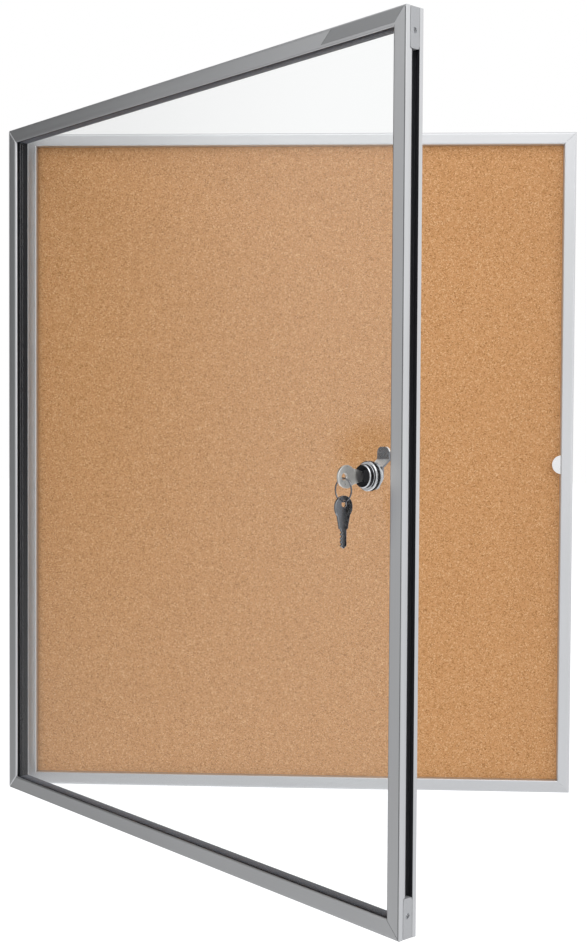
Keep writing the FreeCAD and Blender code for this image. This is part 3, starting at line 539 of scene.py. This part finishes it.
for side in SIDES:
    bar = mitred_bar("look_door_" + side, side, door_outline, lambda v: DOOR_BACK - v, "door",
                     door_rims[side], door_open)
    bar.data.materials.append(materials["groove"])
    for face in always_dark + also_dark[side]:
        bar.data.polygons[face].material_index = 1
print("door bars:", len(SIDES), "with", len(door_outline), "points in the section")

# %% [markdown]
# The cork sheet swells a little unevenly, so its front is a grid of points that rise and fall
# by a tenth of a millimetre instead of one flat face: long waves with shorter ripples on
# them. The sides and the back stay plain, because the slot of the case hides them.

# %% Cork sheet
low, high = (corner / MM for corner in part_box("cork_sheet"))
ACROSS, UPWARD = 94, 112
SUNK = 0.15
WAVE_LENGTH, WAVE_HEIGHT, RIPPLE_LENGTH, RIPPLE_HEIGHT = 38, 0.1, 9, 0.05
points, faces = [], []
for row in range(UPWARD + 1):
    for column in range(ACROSS + 1):
        x = low.x + (high.x - low.x) * column / ACROSS
        z = low.z + (high.z - low.z) * row / UPWARD
        inside = min(column, ACROSS - column, row, UPWARD - row) > 0
        swell = (noise.noise(Vector((x, 0, z)) / WAVE_LENGTH) * WAVE_HEIGHT
                 + noise.noise(Vector((x, 7, z)) / RIPPLE_LENGTH) * RIPPLE_HEIGHT)
        points.append((x, low.y + SUNK + swell * inside, z))
wide = ACROSS + 1
for row in range(UPWARD):
    for column in range(ACROSS):
        corner = row * wide + column
        faces.append((corner, corner + 1, corner + wide + 1, corner + wide))
rim = (list(range(wide)) + [wide * r + ACROSS for r in range(1, UPWARD + 1)]
       + [wide * UPWARD + c for c in range(ACROSS - 1, -1, -1)]
       + [wide * r for r in range(UPWARD - 1, 0, -1)])
back = list(range(len(points), len(points) + len(rim)))
points += [(points[i][0], high.y, points[i][2]) for i in rim]
faces += [(rim[i - 1], rim[i], back[i], back[i - 1]) for i in range(len(rim))]
faces.append(tuple(back))
cork = piece("look_cork_sheet", points, faces, "case", ["cork_sheet"], smooth_deg=30)
print("cork sheet:", len(cork.data.vertices), "points")

# %% [markdown]
# The lock is turned on a lathe, and so is its mesh: an outline of radius and height is
# swept round the lock's axis. The outline follows the flange, the head and the bore for the
# core, with extra points where the real edge is rounded, because chrome shows every edge as
# a bright line. On the head's side and on its front, between its bright edges, the chrome's
# dark reflection is painted: the faces there get a second, dark metal material.

# %% Lock housing
lock = joints["lock_turn"]
lock_at = Vector(lock["pos_m"])
outward = -Vector(lock["axis"]).normalized()
sideways = Vector((-outward.y, outward.x, 0))
lock_place = Matrix.Translation(lock_at) @ Matrix((
    (sideways.x, 0, outward.x, 0), (sideways.y, 0, outward.y, 0), (0, 1, 0, 0), (0, 0, 0, 1)))


def rounded(outline, radius, steps=4):
    """Replace each sharp corner of an outline with a short arc."""
    soft = []
    for i, corner in enumerate(outline):
        here = Vector(corner)
        before = Vector(outline[i - 1]) - here
        after = Vector(outline[(i + 1) % len(outline)]) - here
        reach = min(radius, before.length * 0.45, after.length * 0.45)
        start, end = here + before.normalized() * reach, here + after.normalized() * reach
        for step in range(steps + 1):
            t = step / steps
            soft.append(tuple(start * (1 - t) ** 2 + here * 2 * t * (1 - t) + end * t ** 2))
    return soft


def lathe(name, outline, body, stands_for, place, turns=96):
    """Sweep a closed outline of (radius, height) round the Z axis."""
    count = len(outline)
    points = [(r * math.cos(2 * math.pi * t / turns), r * math.sin(2 * math.pi * t / turns), h)
              for t in range(turns) for r, h in outline]
    faces = [(t * count + i, t * count + (i + 1) % count,
              (t + 1) % turns * count + (i + 1) % count, (t + 1) % turns * count + i)
             for t in range(turns) for i in range(count)]
    return piece(name, points, faces, body, stands_for, place, 40)


BORE, BODY, HEAD_RADIUS, FLANGE = 5.58, 8.0, 8.8, 11.2
FLANGE_TOP, HEAD_TOP = 2.0, 6.2
housing_outline = rounded([
    (BORE, -9.7), (BODY, -9.7), (BODY, 0.5), (FLANGE, 0.5), (FLANGE, 1.3), (10.5, FLANGE_TOP),
    (HEAD_RADIUS, FLANGE_TOP), (HEAD_RADIUS, 5.5), (8.1, HEAD_TOP), (6.68, HEAD_TOP),
    (6.68, 4.32), (BORE, 4.32)], 0.35)
housing = lathe("look_lock_housing", housing_outline, "door", ["lock_housing"], lock_place)
# The head's side and front get the dark metal: a painted dark reflection of the chrome.
housing.data.materials.append(materials["lock_core_metal"])
for face in housing.data.polygons:
    radius, height = math.hypot(face.center.x, face.center.y) / MM, face.center.z / MM
    on_side = radius > HEAD_RADIUS - 0.2 and FLANGE_TOP + 0.4 < height < HEAD_TOP - 0.9
    on_front = radius < BODY and height > HEAD_TOP - 2.2
    face.material_index = int(on_side or on_front)
print("lock housing:", len(housing.data.vertices), "points")

# %% [markdown]
# A key is stamped from flat bar and then milled. A flat curve with a second curve inside it
# for the hole gives the plate, its thickness and its rounded rim in one step, and is then
# turned into a mesh. Both keys are the same blank: one stands in the lock, and the other
# hangs on the ring with its blade down. The hanging one gets a darker nickel, a painted dark reflection.

# %% Keys
ring_top = Vector(joints["ring_swing"]["pos_m"])
UP = Vector((0, 0, 1))
HOLE_TO_HOLE = 19.55
key_hole = Vector((ring_top.x, ring_top.y, HEIGHT / 2 * MM))
spare_hole = key_hole - UP * HOLE_TO_HOLE * MM
KEY_HALF, RIM = 0.95, 0.22
BOW_RADIUS, BOW_SHIFT, KEY_HOLE_RADIUS = 8.5, -2.5, 2.5
SHOULDER, TIP, BLADE_HALF, STEP = -18.4, -32.6, 2.6, 2.84
CUTS = (1.0, 0.8, 1.3, 1.0)


def key_outline():
    """Outline of the key in (along, across), with its hole at the origin."""
    bow = [(BOW_SHIFT + BOW_RADIUS * math.cos(math.radians(a)),
            BOW_RADIUS * math.sin(math.radians(a))) for a in range(-134, 135, 4)]
    taper = TIP + 1.8
    blade = [(SHOULDER, 3.9), (SHOULDER, BLADE_HALF), (taper, BLADE_HALF), (TIP, 0),
             (taper, -BLADE_HALF)]
    for step, depth in enumerate(CUTS):
        middle = taper + STEP * (step + 0.5)
        blade += [(middle - 0.85, -BLADE_HALF), (middle - 0.2, depth - BLADE_HALF),
                  (middle + 0.2, depth - BLADE_HALF), (middle + 0.85, -BLADE_HALF)]
    return bow + blade + [(SHOULDER, -BLADE_HALF), (SHOULDER, -3.9)]


def key_mesh(name):
    """Plate of the outline, with a hole and rounded rims."""
    curve = bpy.data.curves.new(name, "CURVE")
    curve.dimensions, curve.fill_mode = "2D", "BOTH"
    hole = [(KEY_HOLE_RADIUS * math.cos(math.radians(a)),
             KEY_HOLE_RADIUS * math.sin(math.radians(a))) for a in range(0, 360, 10)]
    for outline in (key_outline(), hole):
        spline = curve.splines.new("POLY")
        spline.points.add(len(outline) - 1)
        for point, (along, across) in zip(spline.points, outline):
            point.co = (along * MM, across * MM, 0, 1)
        spline.use_cyclic_u = True
    curve.bevel_depth, curve.bevel_resolution = RIM * MM, 2
    curve.extrude, curve.offset = (KEY_HALF - RIM) * MM, -RIM * MM
    helper = bpy.data.objects.new(name, curve)
    mesh = bpy.data.meshes.new_from_object(helper)
    bpy.data.objects.remove(helper)
    return mesh


def axes(along, across, at):
    """Matrix with its X and Y along two directions, at a point."""
    third = along.cross(across)
    return Matrix.Translation(at) @ Matrix((
        (along.x, across.x, third.x, 0), (along.y, across.y, third.y, 0),
        (along.z, across.z, third.z, 0), (0, 0, 0, 1)))


key = finish_piece("look_key", key_mesh("look_key"), "key", ["key"],
                   axes(outward, UP, key_hole), 30)
spare = finish_piece("look_spare_key", key_mesh("look_spare_key"), "spare", ["spare_key"],
                     axes(UP, -outward, spare_hole), 30)
# Its darker nickel is a painted dark reflection.
spare.data.materials[0] = materials["worn_nickel"]
print("keys:", len(key.data.vertices), "points each")

# %% [markdown]
# A split ring is one flat wire wound twice. Its mesh sweeps a small oval along a helix of
# two turns, and the two ends are closed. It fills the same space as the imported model's ring.

# %% Split ring
RING_RADIUS, WIRE_HALF_WIDTH, WIRE_HALF_DEPTH, RING_PITCH, RING_START = 8.5, 0.6, 0.31, 0.33, 0.6
ring_middle = ring_top - UP * RING_RADIUS * MM
STEPS, CORNERS = 192, 10
points, faces = [], []
for step in range(STEPS + 1):
    turn = 4 * math.pi * step / STEPS + RING_START
    shift = 2 * RING_PITCH * (step / STEPS - 0.5)
    for corner in range(CORNERS):
        a = 2 * math.pi * corner / CORNERS
        radius = RING_RADIUS + WIRE_HALF_WIDTH * math.cos(a)
        points.append((radius * math.cos(turn), radius * math.sin(turn),
                       shift + WIRE_HALF_DEPTH * math.sin(a)))
for first in range(0, STEPS * CORNERS, CORNERS):
    for corner in range(CORNERS):
        following = (corner + 1) % CORNERS
        faces.append((first + corner, first + following, first + CORNERS + following,
                      first + CORNERS + corner))
faces += [tuple(range(CORNERS)),
          tuple(range((STEPS + 1) * CORNERS - 1, STEPS * CORNERS - 1, -1))]
split_ring = piece("look_key_ring", points, faces, "ring", ["key_ring"],
                   axes(sideways, UP, ring_middle), 60)
print("split ring:", len(split_ring.data.vertices), "points")

# %% [markdown]
# The end plugs are moulded a little narrower than the room for them, so a dark gap shows
# beside each, and its rim is rounded. The mesh is made of loops round the screw hole: the
# hole's wall, the flat face and the rim, each with one point for every direction seen from
# the screw. The directions of the two square corners are among them, so that these stay
# sharp. A plain block behind the face fills the groove.

# %% End plugs
SCREW_AT, PLUG_START, PLUG_LENGTH, GROOVE_MIDDLE = 17.0, 0.1, 30.0, 8.675
LOW_V, HIGH_V, ROUND, SCREW_HOLE = 3.8, 13.0, 2.0, 2.1
plug_box = [(PLUG_START, LOW_V), (PLUG_LENGTH, LOW_V), (PLUG_LENGTH, HIGH_V),
            (PLUG_START, HIGH_V)]
plug_core = [(PLUG_START, 3.85), (29.5, 3.85), (29.5, 9.4), (PLUG_START, 9.4)]
block = ((0, 1, 2, 3), (4, 5, 6, 7), (0, 1, 5, 4), (1, 2, 6, 5), (2, 3, 7, 6), (3, 0, 4, 7))
turns = sorted([math.radians(a) for a in range(-180, 180, 4)]
               + [math.atan2(v - GROOVE_MIDDLE, x - SCREW_AT) for x, v in plug_box])


def plug_rim(turn, inward):
    """Where a line from the screw leaves the plug's outline, moved inward."""
    along, across = math.cos(turn), math.sin(turn)
    ends = ((PLUG_LENGTH if along > 0 else PLUG_START) - SCREW_AT,
            (HIGH_V if across > 0 else LOW_V) - GROOVE_MIDDLE)
    reach = min(abs(end / step) for end, step in zip(ends, (along, across)) if abs(step) > 1e-9)
    x, v = SCREW_AT + along * reach, GROOVE_MIDDLE + across * reach
    middle = Vector((PLUG_LENGTH - ROUND, HIGH_V - ROUND if across > 0 else LOW_V + ROUND))
    out = Vector((x, v)) - middle
    if out.x > 0 and out.y * across > 0 and out.length > ROUND:
        x, v = middle + out.normalized() * ROUND
    shrink = 1 - inward / math.hypot(x - SCREW_AT, v - GROOVE_MIDDLE)
    return SCREW_AT + (x - SCREW_AT) * shrink, GROOVE_MIDDLE + (v - GROOVE_MIDDLE) * shrink


hole = [(SCREW_AT + SCREW_HOLE * math.cos(t), GROOVE_MIDDLE + SCREW_HOLE * math.sin(t))
        for t in turns]
layers = [(0.5, hole), (0.0, hole)] + [
    (depth, [plug_rim(t, inward) for t in turns])
    for depth, inward in ((0.0, 0.4), (0.1, 0.12), (0.4, 0.0), (0.55, 0.0))]
layers += [(0.5, plug_core), (5.3, plug_core)]
count, core_start = len(turns), 6 * len(turns)
for name, z_of in (("lower_end_plug", lambda x: x), ("upper_end_plug", lambda x: HEIGHT - x)):
    points = [(WIDTH / 2 - depth, DOOR_BACK - v, z_of(x))
              for depth, loop in layers for x, v in loop]
    faces = [(row + i, row + (i + 1) % count, row + count + (i + 1) % count, row + count + i)
             for row in range(0, core_start - count, count) for i in range(count)]
    faces += [tuple(range(count)), tuple(range(core_start - count, core_start))]
    faces += [tuple(core_start + i for i in face) for face in block]
    plug = piece("look_" + name, points, faces, "door", [name], door_open, 30)
    keep_flat(plug)
    print(name, len(plug.data.vertices), "points")

# %% [markdown]
# A small screw with a domed, bright head holds each plug. Its head is made of rings and
# spokes and is pushed inward in the middle and wherever a point lies inside the cross. The
# sunk faces get a dark material, because no light reaches their floor.

# %% Plug screws
HEAD, SHANK, SPOKES, RING_STEP = 1.9, 1.1, 72, 0.12
DOME, DOME_CURVE, HEAD_DEPTH, RECESS, RECESS_MIDDLE = 0.2, 0.06, 0.25, 0.8, 0.75
RECESS_RADIUS, ARM, ARM_HALF = 1.15, 1.5, 0.6
screw_y, screw_heights = DOOR_BACK - GROOVE_MIDDLE, (SCREW_AT, HEIGHT - SCREW_AT)
profile = [(RING_STEP * ring, DOME - DOME_CURVE * (RING_STEP * ring) ** 2)
           for ring in range(1, 15)]
profile += [(1.8, -0.04), (HEAD, -0.14), (SHANK, -0.9), (SHANK, -6.6)]
points, faces = [], []
for z in screw_heights:
    first = len(points)
    points.append((WIDTH / 2 - RECESS_MIDDLE, screw_y, z))
    for radius, height in profile:
        for spoke in range(SPOKES):
            a = 2 * math.pi * spoke / SPOKES
            y, up = radius * math.cos(a), radius * math.sin(a)
            in_cross = max(abs(y), abs(up)) < ARM and min(abs(y), abs(up)) < ARM_HALF
            sunk = RECESS if radius < RECESS_RADIUS or in_cross else 0.0
            points.append((WIDTH / 2 - HEAD_DEPTH + height - sunk, screw_y + y, z + up))
    ring = [first + 1 + spoke for spoke in range(SPOKES)]
    faces += [(first, ring[i], ring[(i + 1) % SPOKES]) for i in range(SPOKES)]
    for step in range(len(profile) - 1):
        after = [i + SPOKES for i in ring]
        faces += [(ring[i], after[i], after[(i + 1) % SPOKES], ring[(i + 1) % SPOKES])
                  for i in range(SPOKES)]
        ring = after
    faces.append(tuple(ring))
screws = piece("look_plug_screws", points, faces, "door", ["plug_screws"], door_open, 30)
screws.data.materials.append(materials["screw_recess"])
for face in screws.data.polygons:
    x, y, z = face.center / MM
    off_axis = min(math.hypot(y - screw_y, z - height) for height in screw_heights)
    face.material_index = int(0.4 < WIDTH / 2 - x < 1.0 and off_axis < ARM)
print("plug screws:", len(screws.data.vertices), "points")

# %% [markdown]
# The plate at the end of the top rail is bare satin sheet of 0.3 mm. Three of its edges are
# square, and the slanted end is filed down to a flat slope, whose dark line is painted shade.

# %% Name plate
PLATE_THICK, PLATE_EDGE, FILED_WIDTH = 0.3, 0.05, 0.8
plate_low, plate_high = HEIGHT - 10.5, HEIGHT - 1.1
right, plate_back = WIDTH / 2 - 2.6, DOOR_BACK - 17.5
square = [(right - 9.4, plate_low), (right, plate_high)]
slanted = [(right - 87, plate_low), (right - 76, plate_high)]
corners = [slanted[0], *square, slanted[1]]
points = [(x, plate_back, z) for x, z in corners]
points += [(x, plate_back - (PLATE_THICK if (x, z) in square else PLATE_EDGE), z)
           for x, z in corners]
points += [(x + FILED_WIDTH, plate_back - PLATE_THICK, z) for x, z in slanted]
faces = [(3, 2, 1, 0), (8, 5, 6, 9), (4, 8, 9, 7), (0, 1, 5, 8, 4), (1, 2, 6, 5),
         (2, 3, 7, 9, 6), (3, 0, 4, 7)]
plate = piece("look_name_plate", points, faces, "door", ["name_plate"], door_open)
# The filed slope gets the dark aluminium of the door's hollows: painted shade for its dark line.
plate.data.materials.append(materials["groove"])
plate.data.polygons[2].material_index = 1
print("name plate:", round(plate_high - plate_low, 1), "mm high")

# %% [markdown]
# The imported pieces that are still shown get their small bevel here, once it is known which
# ones stay.

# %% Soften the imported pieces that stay
SMALL_EDGE = 0.12
for node in nodes.values():
    if not node.hide_render:
        soften(node, SMALL_EDGE)
print("softened", sum(not node.hide_render for node in nodes.values()), "packed pieces")

# %% [markdown]
# The board was photographed on white. The world gives an even, soft light, and is pure white
# where the camera, a mirror or the pane looks at it. The floor far below glows for the camera,
# so that it turns white too, but it is lit like a real floor as well. Metal sees it much
# darker than the world, so that the case darkens toward its lower rail.

# %% White studio
WHITE = (1, 1, 1, 1)
FLOOR_HEIGHT, FLOOR_GLOW, FLOOR_IN_MIRRORS = -1.2, 0.5, 0.1

world = bpy.data.worlds.new("white_studio")
bpy.context.scene.world = world
tree = empty_tree(world)
rays = add(tree, "ShaderNodeLightPath").outputs
mirrored = math_node(tree, "MAXIMUM", rays["Is Camera Ray"], rays["Is Glossy Ray"])
seen = math_node(tree, "MAXIMUM", mirrored, rays["Is Transmission Ray"])
light = add(tree, "ShaderNodeBackground", {"Color": linear("#f4f5f7"), "Strength": 0.95})
white = add(tree, "ShaderNodeBackground", {"Color": WHITE, "Strength": 1.0})
both = add(tree, "ShaderNodeMixShader", {0: seen, 1: light.outputs[0], 2: white.outputs[0]})
add(tree, "ShaderNodeOutputWorld", {"Surface": both.outputs[0]})

floor_material = bpy.data.materials.new("studio_floor")
tree = empty_tree(floor_material)
paper = add(tree, "ShaderNodeBsdfDiffuse", {"Color": linear("#e4e4e4")})
rays = add(tree, "ShaderNodeLightPath").outputs
straight = math_node(tree, "MAXIMUM", rays["Is Camera Ray"], rays["Is Transmission Ray"])
bright = math_node(tree, "MULTIPLY", straight, FLOOR_GLOW)
dim = math_node(tree, "MULTIPLY", rays["Is Glossy Ray"], FLOOR_IN_MIRRORS)
glow = add(tree, "ShaderNodeEmission", {"Color": WHITE,
                                       "Strength": math_node(tree, "MAXIMUM", bright, dim)})
total = add(tree, "ShaderNodeAddShader", {0: paper.outputs[0], 1: glow.outputs[0]})
add(tree, "ShaderNodeOutputMaterial", {"Surface": total.outputs[0]})


def stage_plane(name, size, place, material):
    """A flat sheet of the studio that isn't part of the board."""
    mesh = bpy.data.meshes.new(name)
    x, y = size[0] / 2, size[1] / 2
    mesh.from_pydata([(-x, -y, 0), (x, -y, 0), (x, y, 0), (-x, y, 0)], [], [(0, 1, 2, 3)])
    sheet = bpy.data.objects.new(name, mesh)
    bpy.context.scene.collection.objects.link(sheet)
    sheet.matrix_world = place
    mesh.materials.append(material)
    return sheet


stage_plane("studio_floor", (80, 80), Matrix.Translation((0, 0, FLOOR_HEIGHT)), floor_material)
print("floor at", FLOOR_HEIGHT, "m")

# %% [markdown]
# Metal shows what stands round it. In the photograph the door's front faces left and is
# grey, darkest at its upper hinge corner, while the faces that look right or forward are
# bright. So the left side of the studio is a large grey wall that darkens away from the
# camera, most of all high up. It is so large and even that the pane mirrors it only as a
# soft veil. A small dark patch in it stands where the cam looks: satin metal spreads it away,
# and the cam shows it dark. Seen straight through the pane the wall is white like the world,
# which the count of mirrored bounces tells. A large lamp far to the right, one in front at
# the left and one above light the cork behind the open door. None of them is seen through the
# pane, and the left one isn't mirrored in metal either, or it would stand as a white band in
# the door's front.

# %% Grey wall and soft lamps
WALL_SIZE, WALL_AT = (17.3, 8), (-1.8, 0.65, 0.4)
PATCH_AT = (-1.01, -0.08, 0)
wall_material = bpy.data.materials.new("grey_wall")
tree = empty_tree(wall_material)
place = add(tree, "ShaderNodeTexCoord").outputs["Object"]
along, up, _ = add(tree, "ShaderNodeSeparateXYZ", {0: place}).outputs
far_end = remap(tree, up, -0.9, 0.1, 0.32, 0.04, "SMOOTHSTEP")
near_end = remap(tree, up, -1.2, 1.0, 0.46, 0.72)
fade = remap(tree, along, -1.0, -0.35, near_end, far_end, "SMOOTHSTEP")
whole = remap(tree, along, -3.2, -1.7, 0.55, fade)
away = add(tree, "ShaderNodeVectorMath", {0: place, 1: PATCH_AT}, operation="DISTANCE")
patch = remap(tree, away.outputs["Value"], 0.03, 0.1, 0.08, 1.0, "SMOOTHSTEP")
grey = math_node(tree, "MULTIPLY", whole, patch)
bounces = add(tree, "ShaderNodeLightPath").outputs["Glossy Depth"]
unmirrored = math_node(tree, "SUBTRACT", 1.0, bounces, use_clamp=True)
shine = add(tree, "ShaderNodeEmission", {"Color": WHITE, "Strength": math_node(
    tree, "MAXIMUM", grey, unmirrored)})
add(tree, "ShaderNodeOutputMaterial", {"Surface": shine.outputs[0]})
wall = stage_plane("grey_wall", WALL_SIZE, axes(Vector((0, 1, 0)), UP, Vector(WALL_AT)),
                   wall_material)
wall.visible_camera = wall.visible_diffuse = wall.visible_shadow = False


def soft_lamp(name, watts, size, at, target):
    """A square area lamp that looks at a point and is never seen in the pane."""
    data = bpy.data.lights.new(name, "AREA")
    data.energy, data.size, data.shape = watts, size, "SQUARE"
    lamp = bpy.data.objects.new(name, data)
    bpy.context.scene.collection.objects.link(lamp)
    lamp.location = at
    lamp.visible_transmission = False
    lamp.rotation_euler = (Vector(target) - Vector(at)).to_track_quat("-Z", "Y").to_euler()
    return lamp


MIDDLE = (0, -0.1, 0.33)
soft_lamp("key_lamp", 6, 1.6, (3.0, -2.4, 1.0), MIDDLE)
left_lamp = soft_lamp("left_lamp", 18, 1.2, (-1.0, -2.0, 0.6), (-0.3, 0, 0.33))
left_lamp.visible_glossy = False
soft_lamp("top_lamp", 9.5, 1.6, (0, -1.8, 2.0), MIDDLE)
print("wall", WALL_SIZE[0], "m wide, and three lamps")

# %% [markdown]
# The straight edges of the frame and of the door in the photograph fix the camera: where it
# stood, where it looked, and how long its lens was. The position is in metres from the
# middle of the case's lower back edge, and the three angles turn it left, down and askew.

# %% Camera
data = bpy.data.cameras.new("photo_camera")
camera = bpy.data.objects.new("photo_camera", data)
bpy.context.scene.collection.objects.link(camera)
bpy.context.scene.camera = camera
CAMERA_AT, SENSOR_MM, LENS_MM = (0.06537, -1.41488, 0.36862), 36.0, 51.97
YAW_PITCH_ROLL = (2.8252, -1.7822, -0.3267)
data.sensor_fit, data.sensor_width, data.lens = "AUTO", SENSOR_MM, LENS_MM
data.clip_start, data.clip_end = 0.05, 50.0
yaw, pitch, roll = (math.radians(a) for a in YAW_PITCH_ROLL)
turned = (Matrix.Rotation(yaw, 3, "Z") @ Matrix.Rotation(pitch, 3, "X")
          @ Matrix.Rotation(roll, 3, "Y") @ Matrix.Rotation(math.pi / 2, 3, "X"))
camera.matrix_world = Matrix.Translation(CAMERA_AT) @ turned.to_4x4()
bpy.context.scene.view_settings.view_transform = "Standard"
print("camera with a lens of", LENS_MM, "mm")
